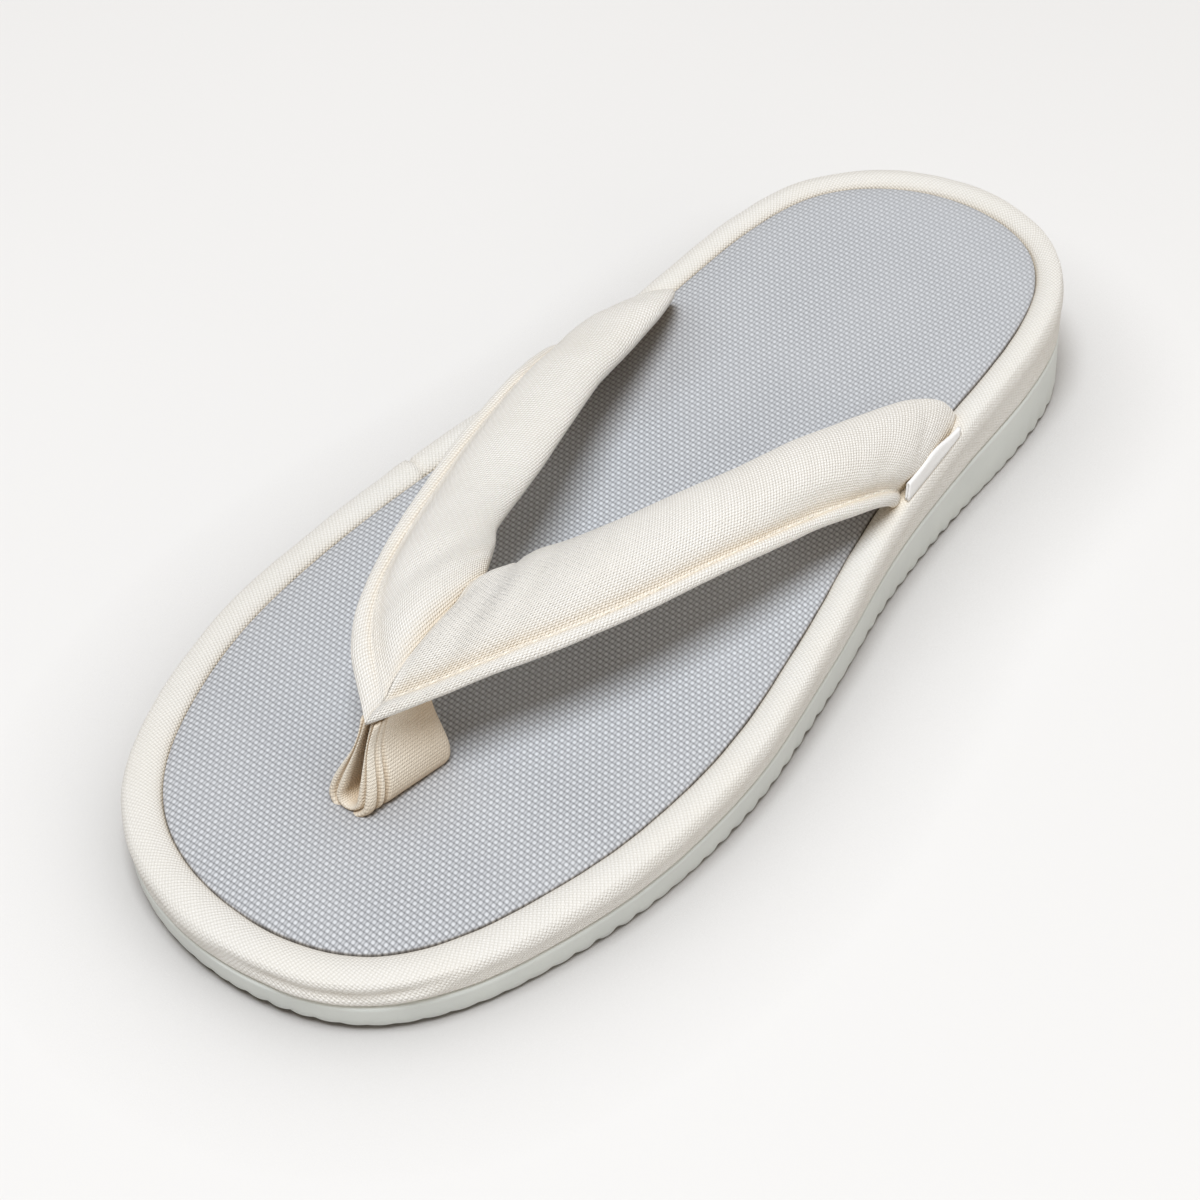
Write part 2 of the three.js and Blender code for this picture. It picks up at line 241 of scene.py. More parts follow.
# The forms below reach down to this height of the section.
FORMS_LOWEST = -0.5

# Soft bulges and troughs of the straps. Columns: row along the strap,
# share across, spread along in rows, spread across in shares, height.
OUTER_FORMS = [
    (0.30, 0.95, 0.24, 0.10, 0.9),
    (0.74, 1.00, 0.07, 0.06, -1.0),
    (2.60, 0.30, 0.60, 0.10, -0.25),
    (5.20, 0.26, 0.50, 0.09, -0.45),
    (6.40, 0.40, 0.25, 0.20, -0.35),
    (7.40, 0.62, 0.20, 0.25, -0.4),
    (8.10, 0.30, 0.18, 0.15, -0.5),
]
INNER_FORMS = [
    (4.50, 0.165, 6.0, 0.035, 0.7),
    (0.55, 0.80, 0.20, 0.16, -0.5),
    (0.80, 0.92, 0.10, 0.10, -0.4),
    (1.30, 0.50, 0.30, 0.25, -0.3),
    (2.80, 0.30, 0.60, 0.10, -0.25),
    (5.60, 0.45, 0.35, 0.25, -0.3),
    (7.10, 0.60, 0.22, 0.25, -0.4),
    (8.00, 0.35, 0.18, 0.15, -0.5),
]

# Stitches beside the flange of the outer strap, and the puckers that they pull.
STITCH_LENGTH = 2.1
STITCH_PITCH = 3.0
STITCH_RADIUS = 0.19
STITCH_TIP = 0.02
STITCH_SINK = 0.3
STITCH_POINTS = 7
STITCH_SIDES = 6
STITCH_FIRST_ROW = 0.25
STITCH_END_ROWS = 0.15
STITCH_LINE_STEPS = 1500
# A direction that no stitch follows, from which the sides of its tube are turned.
STITCH_ASIDE = np.array([0.3, 0.2, 1.0])
PUCKER_SHARE = 0.2
PUCKER_SPREAD = 0.07
PUCKER_HEIGHT = 0.03

# Lapped join of the wrap on the inner side.
SEAM_X = 10.4
SEAM_Y = -47.9
SEAM_LEAN = 0.26
SEAM_DEPTH = 0.55
SEAM_WIDTH = 0.6
SEAM_LAP = 0.35
SEAM_LAP_FADE = (2, 9)
# Distance from the seam that points of the outer side are given.
SEAM_FAR = 1000.0

# Folds of the wrap round the toe; a depth below 0 is a ridge. Columns: x, y,
# rise above the sole edge, reach along the edge, reach up and down, depth.
TOE_WRINKLES = [
    (127.5, 4.0, -1.7, 6.0, 1.2, 0.5),
    (126.0, 13.0, -2.1, 6.0, 1.3, 0.8),
    (121.5, 24.0, -2.4, 7.0, 1.4, 1.0),
    (115.5, 31.5, -2.1, 5.0, 1.2, 1.0),
    (110.0, 36.0, -1.5, 4.0, 1.1, 0.6),
    (101.0, 45.0, -2.6, 5.0, 1.1, 0.3),
    (122.0, -16.0, -2.2, 6.0, 1.2, 0.35),
    (124.0, 19.0, -4.2, 9.0, 1.0, -0.6),
    (113.0, 34.0, -4.0, 6.0, 1.0, -0.6),
]

# Corners of the toe post's middle line.
POST_TOP_FRONT = (84.0, 1.8, 35.4)
POST_TOP_REAR = (71.5, 3.0, 35.9)
POST_BASE_FRONT = (90.0, -0.2, 13.6)
POST_BASE_REAR = (70.0, 3.6, 13.6)

# Rounds and lift are shares of the post's height; hem, grooves and corner are shares of its width,
# and the depth of a groove is a share of the cloth's thickness.
POST_HALF_BASE = 4.8
POST_HALF_TOP = 2.0
POST_BELLY = 0.9
POST_SLOT_HALF = 1.9
POST_SLOT_TAPER = 0.8
POST_SLOT_LIFT = 0.02
POST_ROUND = 0.18
POST_SLOT_ROUND = 0.08
POST_SIDE_STEPS = 18
POST_ARC_STEPS = 16
POST_FACE_STEPS = 96
POST_HEM = 0.07
POST_HEM_STEPS = 16
POST_GROOVES = (0.07, 0.18)
POST_GROOVE_WIDTH = 0.026
POST_GROOVE_DEPTH = 0.3
POST_CORNER = 0.1
# Where the painted shadow of the strap on the post starts and is full, along x and z.
POST_STRAP_SHADOW_X = (87.0, 73.0)
POST_STRAP_SHADOW_Z = (15.0, 30.0)

# Start, end and taper of the label follow the seat of the outer strap, 0 at its front edge.
LABEL_START = 0.02
LABEL_END = 0.8
LABEL_TAPER = 0.5
LABEL_TAPER_START = 0.35
LABEL_HEIGHT = 3.8
LABEL_THICK = 0.9
LABEL_PLY = 0.36
LABEL_STEPS = 40
LABEL_SIDE_POINTS = 5
LABEL_ARC_STEPS = 8
LABEL_OFFSET = 2.3
LABEL_LEAN = 0.6
LABEL_WAVE = 0.12
LABEL_WAVE_TURN = 9
LABEL_SHEAR = 1.2

# Weaves. Pitches are spaces between threads; second heights are those of the threads laid along u.
CANVAS_PITCH_RIB = 0.74
CANVAS_PITCH_FINE = 0.6
CANVAS_SECOND_HEIGHT = 0.8
INSOLE_PITCH_CROSS = 1.12
INSOLE_PITCH_LONG = 0.77
INSOLE_LEAN_CROSS = math.radians(3)
INSOLE_LEAN_LONG = math.radians(4)
INSOLE_SECOND_HEIGHT = 0.72
INSOLE_RELIEF = 0.25
# Lowest part of a thread as a share of its height, and the power of its round top.
THREAD_SINK = 0.15
THREAD_ROUND = 0.6

# Canvas of the wrap, the straps and the post. Columns: name, threads, gaps between threads,
# turn of the ribs in degrees, height of the threads, reach of the painted warm shade in hollows,
# its tint, share of the painted shadow of the strap at the upper rear of the post.
CANVASES = [
    ("wrap", (0.82, 0.81, 0.785), (0.71, 0.69, 0.64), 35, 0.22, 7.0, (1.0, 0.87, 0.68), 0.0),
    ("strap", (0.95, 0.94, 0.92), (0.72, 0.69, 0.625), -4, 0.3, 5.0, (1.0, 0.85, 0.64), 0.0),
    ("post", (0.95, 0.9, 0.8), (0.78, 0.71, 0.6), 0, 0.2, 14.0, (0.62, 0.47, 0.3), 0.7),
]

# Colours.
CANVAS_CLOUD = (0.78, 0.73, 0.62)
CANVAS_FLECK = (0.35, 0.2, 0.1)
# Painted shadow of the strap on the upper rear of the post.
POST_STRAP_SHADOW = (0.5, 0.36, 0.22)
INSOLE_GAP = (0.23, 0.236, 0.25)
INSOLE_CROWN = (0.655, 0.68, 0.715)
INSOLE_SLUB = (0.34, 0.35, 0.38)
INSOLE_CLOUD = (0.66, 0.67, 0.69)
INSOLE_HEEL = (0.48, 0.5, 0.53)
INSOLE_SHADE = (0.5, 0.44, 0.38)
FOAM_DARK = (0.63, 0.66, 0.64)
FOAM_LIGHT = (0.69, 0.72, 0.695)
FOAM_GRAIN = (0.56, 0.585, 0.565)
TAPE_DARK = (0.8, 0.8, 0.8)
TAPE_LIGHT = (0.88, 0.88, 0.88)
THREAD_DARK = (0.72, 0.68, 0.58)
THREAD_LIGHT = (0.88, 0.85, 0.77)
FLOOR_DARK = (0.765, 0.763, 0.758)
FLOOR_LIGHT = (0.78, 0.778, 0.773)
FLOOR_SHADE = (0.3, 0.27, 0.245)

# Scales of the noises that make tone and grain, per metre.
CANVAS_CLOUDS = 60.0
CANVAS_FUZZ = 2600.0
CANVAS_FLECKS = 46.0
INSOLE_CLOUDS = 45.0
FOAM_CLOUDS = 70.0
FOAM_GRAINS = 2400.0
FLOOR_CLOUDS = 3.0

# Heights of the weave and values of the noises between which two colours blend.
CANVAS_TONE = (0.15, 0.9)
INSOLE_TONE = (0.25, 0.85)
CLOUD_TONE = (0.3, 0.7)
CANVAS_CLOUD_TONE = (0.35, 0.75)
GRAIN_TONE = (0.55, 0.75)
# Largest shares of the second colour.
SLUB_SHARE = 0.2
CANVAS_CLOUD_SHARE = 0.15
INSOLE_CLOUD_SHARE = 0.1
GRAIN_SHARE = 0.2

# Brown flecks of the canvas: their stretch, and the shares of a cell where they start to fade and end.
FLECK_STRETCH = (1.0, 0.55, 1.0)
FLECK_EDGE = (0.012, 0.022)
FLECK_PICK = 0.5
FLECK_STRENGTH = 0.5
# Heights of the finest relief.
FUZZ_RELIEF = 0.12
FOAM_RELIEF = 0.12
TAPE_RELIEF = 0.05
TWIST_RELIEF = 0.06
# Where the weave of the insole starts and ends fading, along x.
INSOLE_FADE = (-20.0, -120.0)
INSOLE_FADE_SHARE = 0.4
# Reach of the painted shade in hollows of the insole and of the floor.
INSOLE_HOLLOW = 16.0
FLOOR_HOLLOW = 34.0
HOLLOW_SAMPLES = 4
TAPE_RIB_PITCH = 0.35
# Twist of the sewing thread, in radians per metre along it and round it.
TWIST_ALONG = 3000.0
TWIST_ROUND = 5200.0

# Half the width of the floor, in metres.
FLOOR_HALF = 4.0

CAMERA_PLACE = (363.0, 260.6, 441.3)
CAMERA_TARGET = (19.5, 6.7, 18.0)
CAMERA_LENS = 90.0
CAMERA_SENSOR = 36
CAMERA_NEAR = 0.01

SKY_STRENGTH = 0.3
SKY_TINT = (1.0, 0.84, 0.66, 1.0)
# Columns: name, place, width in metres, watts, tint.
LIGHTS = [
    ("softbox", (650, 200, 2580), 1.2, 72.0, (0.91, 0.95, 1.0)),
    ("fill", (150, 1700, 500), 1.5, 5.5, (1.0, 0.98, 0.95)),
]


def catmull(a, b, c, d, t):
    """A smooth curve from b to c, with a and d as its neighbours."""
    even = 2 * b + (c - a) * t + (2 * a - 5 * b + 4 * c - d) * t**2
    return 0.5 * (even + (3 * b - a - 3 * c + d) * t**3)


def smooth(low, high, x):
    """A soft step from 0 to 1 between low and high."""
    t = np.clip((x - low) / (high - low), 0, 1)
    return t * t * (3 - 2 * t)


def bell(x):
    """A soft bump, 1 in its middle."""
    return np.exp(-(x**2))


def unit(v):
    return v / np.linalg.norm(v, axis=-1, keepdims=True)


def outline_column(column, turn):
    """One column of the outline at turns in degrees, mirrored past its ends."""
    last = len(OUTLINE) - 1
    k = np.minimum((turn / OUTLINE_PITCH).astype(int), last - 1)
    rows = [OUTLINE[last - np.abs(last - np.abs(k + n)), column] for n in (-1, 0, 1, 2)]
    return catmull(*rows, turn / OUTLINE_PITCH - k)


def outline(count):
    """Points of the sole outline and the directions that point inward from them."""
    angle = np.arange(count) * 2 * math.pi / count
    turn = np.degrees(np.arccos(np.cos(angle)))
    side = outline_column(DRIFT, turn) + outline_column(REACH, turn) * np.sin(angle)
    points = np.column_stack([MIDDLE + LENGTH / 2 * np.cos(angle), side])
    along = unit(np.roll(points, -1, 0) - np.roll(points, 1, 0))
    return points, np.column_stack([-along[:, 1], along[:, 0]])


def heel_share(x):
    """0 at the toe, 1 at the heel."""
    return np.clip(0.5 - x / LENGTH, 0, 1)


def floor_height(x):
    return TOE_SPRING * np.clip((x - SPRING_START) / (LENGTH / 2 - SPRING_START), 0, 1) ** 2


def outsole_top(x):
    return floor_height(x) + OUTSOLE_TOE + (OUTSOLE_HEEL - OUTSOLE_TOE) * heel_share(x) ** OUTSOLE_POWER


def edge_height(x):
    return EDGE_TOE + (EDGE_HEEL - EDGE_TOE) * heel_share(x) ** EDGE_POWER


def roll_height(x):
    return edge_height(x) - ROLL_TOE - (ROLL_HEEL - ROLL_TOE) * heel_share(x) ** ROLL_POWER


def above(height, rise):
    """A height that stands a fixed rise over another one."""
    return lambda x: height(x) + rise


def partway(low, high, share):
    """A height between two others."""
    return lambda x: low(x) + (high(x) - low(x)) * share


def refine(rings, steps):
    """Smooth rings between the given ones."""
    ends = [2 * rings[0] - rings[1]], [2 * rings[-1] - rings[-2]]
    padded = np.concatenate([ends[0], rings, ends[1]])
    fine = []
    for k in range(len(rings) - 1):
        for t in np.arange(steps) / steps:
            fine.append(catmull(*padded[k : k + 4], t))
    return np.array([*fine, rings[-1]])


def inset_scale(x):
    """Insets are widest round the toe and narrow towards the heel."""
    toe_share = (1 - heel_share(x)) ** INSET_SCALE_POWER
    return INSET_SCALE_HEEL + (INSET_SCALE_TOE - INSET_SCALE_HEEL) * toe_share


def wall_lean(x):
    """How far the wall moves inward for each millimetre down from the sole edge."""
    return WALL_LEAN_TOE + (WALL_LEAN_HEEL - WALL_LEAN_TOE) * heel_share(x)


def ring_stack(count, layers, steps=1):
    """Rings round the sole. Each layer is an inset from the outline and a height."""
    points, inward = outline(count)
    x = points[:, 0]
    rings = []
    for inset, height in layers:
        drop = np.maximum(edge_height(x) - height(x), 0)
        flat = points + inward * (inset * inset_scale(x) + wall_lean(x) * drop)[:, None]
        rings.append(np.column_stack([flat, height(flat[:, 0])]))
    return refine(np.array(rings), steps)


def round_normals(rings):
    """Outward directions of a stack of closed rings."""
    around = np.roll(rings, -1, 1) - np.roll(rings, 1, 1)
    normals = np.cross(around, np.gradient(rings, axis=0))
    outward = rings - rings.mean(axis=1, keepdims=True)
    return unit(normals * np.sign((normals * outward).sum()) + TINY)


def soft_noise(points, size, seed):
    """Smooth noise from -1 to 1 with lumps of the given size."""
    flat = points.reshape(-1, 3) / size + seed
    values = [noise.noise(Vector(p)) for p in flat]
    return np.array(values).reshape(points.shape[:-1])


def lumpy(points, rows):
    """Soft lumps added up from rows of height, size and seed."""
    return sum(height * soft_noise(points, size, seed) for height, size, seed in rows)


def quads_of(grid):
    return np.stack([grid[:-1, :-1], grid[:-1, 1:], grid[1:, 1:], grid[1:, :-1]], -1).reshape(-1, 4)


def wrap(grid):
    """The grid with its first column repeated at the end."""
    return np.concatenate([grid, grid[:, :1]], axis=1)


class Shell:
    """Points, faces and cloth directions of one piece, gathered before it becomes a mesh."""

    def __init__(self):
        self.points = np.zeros((0, 3))
        self.faces = []
        self.uvs = []

    def add_points(self, points):
        start = len(self.points)
        self.points = np.concatenate([self.points, points.reshape(-1, 3)])
        return start + np.arange(points[..., 0].size).reshape(points.shape[:-1])

    def add_quads(self, index, u, v):
        """Quads of a grid of point numbers, with u and v for each of its points."""
        self.faces.extend(quads_of(index).tolist())
        self.uvs.extend(np.stack([quads_of(u), quads_of(v)], -1).tolist())

    def add_fan(self, tip, row, uv):
        for a, b in zip(row[:-1], row[1:]):
            self.faces.append([int(tip), int(a), int(b)])
            self.uvs.append([uv(self.points[n]) for n in (tip, a, b)])

    def add_lid(self, ring, columns, shape, uv):
        """A lid across a ring whose points n and count - n face each other."""
        half = len(ring) // 2
        left = self.points[ring[1:half]]
        right = self.points[ring[:half:-1]]
        share = np.linspace(0, 1, columns + 1)[1:-1, None]
        inner = self.add_points(shape(left[:, None] + (right - left)[:, None] * share))
        index = np.column_stack([ring[1:half], inner, ring[:half:-1]])
        places = uv(self.points[index])
        self.add_quads(index, places[..., 0], places[..., 1])
        self.add_fan(ring[0], index[0][::-1], uv)
        self.add_fan(ring[half], index[-1], uv)

    def add_end(self, ring):
        """A flat strip lid that closes the end of a sleeve."""
        half = len(ring) // 2
        index = np.column_stack([ring[:half], ring[::-1][:half]])
        place = self.points[index] * MM
        self.add_quads(index, place[..., 0], place[..., 1])

    def make(self, name, material):
        """The mesh object, in metres, its faces turned outward."""
        mesh = bpy.data.meshes.new(name)
        mesh.from_pydata((self.points * MM).tolist(), [], self.faces)
        layer = mesh.uv_layers.new(name=UV_NAME)
        flat = np.array([pair for face in self.uvs for pair in face], dtype=np.float32)
        layer.data.foreach_set("uv", flat.ravel())
        edit = bmesh.new()
        edit.from_mesh(mesh)
        bmesh.ops.recalc_face_normals(edit, faces=edit.faces)
        edit.to_mesh(mesh)
        edit.free()
        mesh.shade_smooth()
        mesh.materials.append(material)
        piece = bpy.data.objects.new(name, mesh)
        bpy.context.scene.collection.objects.link(piece)
        return piece


def flat_uv(points):
    return np.asarray(points)[..., :2] * MM


def run_lengths(grid, axis):
    """Lengths from the first point, in metres, along the lines of a grid."""
    steps = np.linalg.norm(np.diff(grid, axis=axis), axis=-1)
    return np.insert(np.cumsum(steps, axis=axis), 0, 0, axis=axis) * MM


def sleeve_uv(rings):
    """u along a sleeve by its mean length, v round each of its rings."""
    closed = wrap(rings)
    v = run_lengths(closed, 1)
    u = run_lengths(closed, 0).mean(axis=1, keepdims=True)
    return u + 0 * v, v


def hoop_uv(rings):
    """u round a hoop by its mean length, v across it from the last ring."""
    closed = wrap(rings)
    v = run_lengths(closed[::-1], 0)[::-1]
    u = run_lengths(closed, 1).mean(axis=0, keepdims=True)
    return u + 0 * v, v


def sleeve(rings):
    """A shell over a stack of closed rings, with a flat strip lid at each end."""
    shell = Shell()
    index = shell.add_points(rings)
    shell.add_quads(wrap(index), *sleeve_uv(rings))
    shell.add_end(index[0])
    shell.add_end(index[-1])
    return shell


class Shader:
    """One procedural material, and short ways to add nodes to it."""

    def __init__(self, name, roughness, specular, sheen=0.0):
        self.material = bpy.data.materials.new(name)
        self.material.use_nodes = True
        self.tree = self.material.node_tree
        self.surface = self.tree.nodes["Principled BSDF"]
        self.surface.inputs["Roughness"].default_value = roughness
        self.surface.inputs["Specular IOR Level"].default_value = specular
        self.surface.inputs["Sheen Weight"].default_value = sheen

    def feed(self, socket, value):
        if isinstance(value, bpy.types.NodeSocket):
            self.tree.links.new(value, socket)
        else:
            socket.default_value = value

    def math(self, operation, *values):
        node = self.tree.nodes.new("ShaderNodeMath")
        node.operation = operation
        for socket, value in zip(node.inputs, values):
            self.feed(socket, value)
        return node.outputs[0]

    def uv(self):
        node = self.tree.nodes.new("ShaderNodeUVMap")
        node.uv_map = UV_NAME
        split = self.tree.nodes.new("ShaderNodeSeparateXYZ")
        self.feed(split.inputs[0], node.outputs[0])
        return node.outputs[0], split.outputs[0], split.outputs[1]

    def place(self):
        return self.tree.nodes.new("ShaderNodeTexCoord").outputs["Object"]

    def way(self, axis, low, high):
        """Share of the way from low to high along an axis, in millimetres."""
        split = self.tree.nodes.new("ShaderNodeSeparateXYZ")
        self.feed(split.inputs[0], self.place())
        return self.span(split.outputs[axis], low * MM, high * MM)

    def scaled(self, vector, scale):
        node = self.tree.nodes.new("ShaderNodeVectorMath")
        node.operation = "MULTIPLY"
        self.feed(node.inputs[0], vector)
        node.inputs[1].default_value = scale
        return node.outputs[0]

    def lumps(self, vector, scale, detail=2.0):
        node = self.tree.nodes.new("ShaderNodeTexNoise")
        self.feed(node.inputs["Vector"], vector)
        node.inputs["Scale"].default_value = scale
        node.inputs["Detail"].default_value = detail
        return node.outputs["Fac"]

    def chance(self, value):
        node = self.tree.nodes.new("ShaderNodeTexWhiteNoise")
        node.noise_dimensions = "1D"
        self.feed(node.inputs["W"], value)
        return node.outputs["Value"]

    def cells(self, vector, scale):
        node = self.tree.nodes.new("ShaderNodeTexVoronoi")
        self.feed(node.inputs["Vector"], vector)
        node.inputs["Scale"].default_value = scale
        return node.outputs["Distance"], node.outputs["Color"]

    def span(self, value, low, high, to_low=0.0, to_high=1.0):
        node = self.tree.nodes.new("ShaderNodeMapRange")
        self.feed(node.inputs["Value"], value)
        limits = {"From Min": low, "From Max": high, "To Min": to_low, "To Max": to_high}
        for key, limit in limits.items():
            node.inputs[key].default_value = limit
        return node.outputs["Result"]

    def mix(self, share, first, second, blend="MIX"):
        node = self.tree.nodes.new("ShaderNodeMix")
        node.data_type = "RGBA"
        node.blend_type = blend
        self.feed(node.inputs[0], share)
        colours = [socket for socket in node.inputs if socket.type == "RGBA"]
        for socket, colour in zip(colours, (first, second)):
            self.feed(socket, (*colour, 1.0) if isinstance(colour, tuple) else colour)
        return next(socket for socket in node.outputs if socket.type == "RGBA")

    def hollow(self, reach):
        """Share of the surroundings within reach that closes in on a point, used to paint shade."""
        node = self.tree.nodes.new("ShaderNodeAmbientOcclusion")
        node.samples = HOLLOW_SAMPLES
        node.inputs["Distance"].default_value = reach * MM
        return self.math("SUBTRACT", 1.0, node.outputs["AO"])

    def bump(self, height, distance, strength, normal=None):
        node = self.tree.nodes.new("ShaderNodeBump")
        self.feed(node.inputs["Height"], height)
        node.inputs["Distance"].default_value = distance * MM
        node.inputs["Strength"].default_value = strength
        if normal is not None:
            self.feed(node.inputs["Normal"], normal)
        return node.outputs[0]

    def thread_bulge(self, across):
        """Round height of threads one unit apart."""
        swing = self.math("SINE", self.math("MULTIPLY", self.math("FRACT", across), math.pi))
        return self.math("POWER", swing, THREAD_ROUND)

    def threads(self, first, second, lean, pitch):
        """Thread numbers along first, leaning away from second by an angle in radians."""
        straight = self.math("MULTIPLY", first, math.cos(lean) / (pitch * MM))
        aside = self.math("MULTIPLY", second, math.sin(lean) / (pitch * MM))
        return self.math("SUBTRACT", straight, aside)

    def weave(self, u, v, second):
        """Height of a plain weave with threads one unit apart; second scales those laid along u."""
        row = self.math("FLOOR", u)
        column = self.math("FLOOR", v)
        heights = []
        for across, along, number, phase, tall in ((u, v, row, 0.0, 1.0), (v, u, column, 1.0, second)):
            turn = self.math("ADD", self.math("ADD", along, number), phase - 0.5)
            swing = self.math("COSINE", self.math("MULTIPLY", turn, math.pi))
            rise = self.span(swing, -1.0, 1.0, THREAD_SINK * tall, tall)
            heights.append(self.math("MULTIPLY", self.thread_bulge(across), rise))
        return self.math("MAXIMUM", *heights), row, column

    def slub(self, row, column):
        """Chance share of tone for the two threads that cross at a point."""
        total = self.math("ADD", self.chance(row), self.chance(column))
        return self.span(total, 0.0, 2.0, to_high=SLUB_SHARE)

    def dress(self, colour, normal=None):
        """The finished material."""
        self.feed(self.surface.inputs["Base Color"], colour)
        if normal is not None:
            self.feed(self.surface.inputs["Normal"], normal)
        return self.material


def canvas(name, light, shade, turn, relief, reach, tint, strap_shadow_share):
    """Unbleached cotton canvas, its ribs turned from the piece's own directions, with painted warm
    shade in hollows and a painted strap shadow on the post.
    """
    paint = Shader(name, roughness=0.92, specular=0.15, sheen=0.15)
    uv, u, v = paint.uv()
    ribs = paint.threads(u, v, -math.radians(turn), CANVAS_PITCH_RIB)
    fine = paint.threads(v, u, math.radians(turn), CANVAS_PITCH_FINE)
    height, row, column = paint.weave(ribs, fine, CANVAS_SECOND_HEIGHT)
    body = paint.mix(paint.span(height, *CANVAS_TONE), shade, light)
    body = paint.mix(paint.slub(row, column), body, shade)
    cloudy = paint.lumps(paint.place(), CANVAS_CLOUDS)
    cloud_share = paint.span(cloudy, *CANVAS_CLOUD_TONE, to_high=CANVAS_CLOUD_SHARE)
    body = paint.mix(cloud_share, body, CANVAS_CLOUD)
    near, pick = paint.cells(paint.scaled(uv, FLECK_STRETCH), CANVAS_FLECKS)
    picked = paint.math("GREATER_THAN", pick, FLECK_PICK)
    fleck = paint.math("MULTIPLY", paint.span(near, *FLECK_EDGE, 1.0, 0.0), picked)
    body = paint.mix(paint.math("MULTIPLY", fleck, FLECK_STRENGTH), body, CANVAS_FLECK)
    # Painted warm shade, darker and warmer where the cloth is closed in.
    body = paint.mix(paint.hollow(reach), body, tint, "MULTIPLY")
    # Painted shadow of the strap, falling on the upper rear of the post.
    if strap_shadow_share:
        corner = paint.math("MULTIPLY", paint.way("X", *POST_STRAP_SHADOW_X), paint.way("Z", *POST_STRAP_SHADOW_Z))
        body = paint.mix(paint.math("MULTIPLY", corner, strap_shadow_share), body, POST_STRAP_SHADOW)
    fuzz = paint.lumps(uv, CANVAS_FUZZ, detail=3.0)
    normal = paint.bump(height, relief, strength=1.0)
    return paint.dress(body, paint.bump(fuzz, FUZZ_RELIEF, strength=0.35, normal=normal))


def woven(name):
    """Grey insole cloth: thick cross threads over thinner long ones, with less contrast at the heel."""
    paint = Shader(name, roughness=0.72, specular=0.3, sheen=0.1)
    _, u, v = paint.uv()
    cross = paint.threads(u, v, INSOLE_LEAN_CROSS, INSOLE_PITCH_CROSS)
    long = paint.threads(v, u, INSOLE_LEAN_LONG, INSOLE_PITCH_LONG)
    height, row, column = paint.weave(cross, long, INSOLE_SECOND_HEIGHT)
    body = paint.mix(paint.span(height, *INSOLE_TONE), INSOLE_GAP, INSOLE_CROWN)
    body = paint.mix(paint.slub(row, column), body, INSOLE_SLUB)
    cloudy = paint.lumps(paint.place(), INSOLE_CLOUDS)
    body = paint.mix(paint.span(cloudy, *CLOUD_TONE, to_high=INSOLE_CLOUD_SHARE), body, INSOLE_CLOUD)
    fade = paint.math("MULTIPLY", paint.way("X", *INSOLE_FADE), INSOLE_FADE_SHARE)
    body = paint.mix(fade, body, INSOLE_HEEL)
    # Painted shade in the hollows of the insole, under the straps and beside the rim.
    body = paint.mix(paint.hollow(INSOLE_HOLLOW), body, INSOLE_SHADE, "MULTIPLY")
    roughness = paint.span(height, 0.2, 1.0, to_low=0.9, to_high=0.55)
    paint.feed(paint.surface.inputs["Roughness"], roughness)
    return paint.dress(body, paint.bump(height, INSOLE_RELIEF, strength=0.6))


def foam(name):
    """Pale grey-green moulded foam rubber with a fine closed grain."""
    paint = Shader(name, roughness=0.62, specular=0.35)
    place = paint.place()
    grain = paint.lumps(place, FOAM_GRAINS, detail=3.0)
    cloudy = paint.lumps(place, FOAM_CLOUDS, detail=3.0)
    body = paint.mix(paint.span(cloudy, *CLOUD_TONE), FOAM_DARK, FOAM_LIGHT)
    body = paint.mix(paint.span(grain, *GRAIN_TONE, to_high=GRAIN_SHARE), body, FOAM_GRAIN)
    roughness = paint.span(cloudy, *CLOUD_TONE, to_low=0.56, to_high=0.7)
    paint.feed(paint.surface.inputs["Roughness"], roughness)
    return paint.dress(body, paint.bump(grain, FOAM_RELIEF, strength=0.35))


def tape(name):
    """Smooth white label tape with fine cross ribs."""
    paint = Shader(name, roughness=0.55, specular=0.4, sheen=0.1)
    _, u, _ = paint.uv()
    rib = paint.math("SINE", paint.math("MULTIPLY", u, 2 * math.pi / (TAPE_RIB_PITCH * MM)))
    body = paint.mix(paint.span(rib, -1.0, 1.0), TAPE_DARK, TAPE_LIGHT)
    return paint.dress(body, paint.bump(rib, TAPE_RELIEF, strength=0.3))


def thread(name):
    """Cream sewing thread with a twist."""
    paint = Shader(name, roughness=0.8, specular=0.25, sheen=0.2)
    _, u, v = paint.uv()
    along = paint.math("MULTIPLY", u, TWIST_ALONG)
    twist = paint.math("SINE", paint.math("ADD", along, paint.math("MULTIPLY", v, TWIST_ROUND)))
    body = paint.mix(paint.span(twist, -1.0, 1.0), THREAD_DARK, THREAD_LIGHT)
    return paint.dress(body, paint.bump(twist, TWIST_RELIEF, strength=0.5))


def floor_paint(name):
    """Plain pale floor, with painted shade close to what stands on it."""
    paint = Shader(name, roughness=0.85, specular=0.1)
    cloudy = paint.lumps(paint.place(), FLOOR_CLOUDS)
    body = paint.mix(paint.span(cloudy, *CLOUD_TONE), FLOOR_DARK, FLOOR_LIGHT)
    return paint.dress(paint.mix(paint.hollow(FLOOR_HOLLOW), body, FLOOR_SHADE, "MULTIPLY"))


def tread(points):
    """Depth of the wavy cross grooves under the sole."""
    x, y = points[..., 0], points[..., 1]
    swing = TREAD_SWING * np.sin(2 * math.pi * y / TREAD_SWING_PITCH)
    return TREAD_DEPTH * (0.5 - 0.5 * np.cos(2 * math.pi * (x + swing) / TREAD_PITCH))


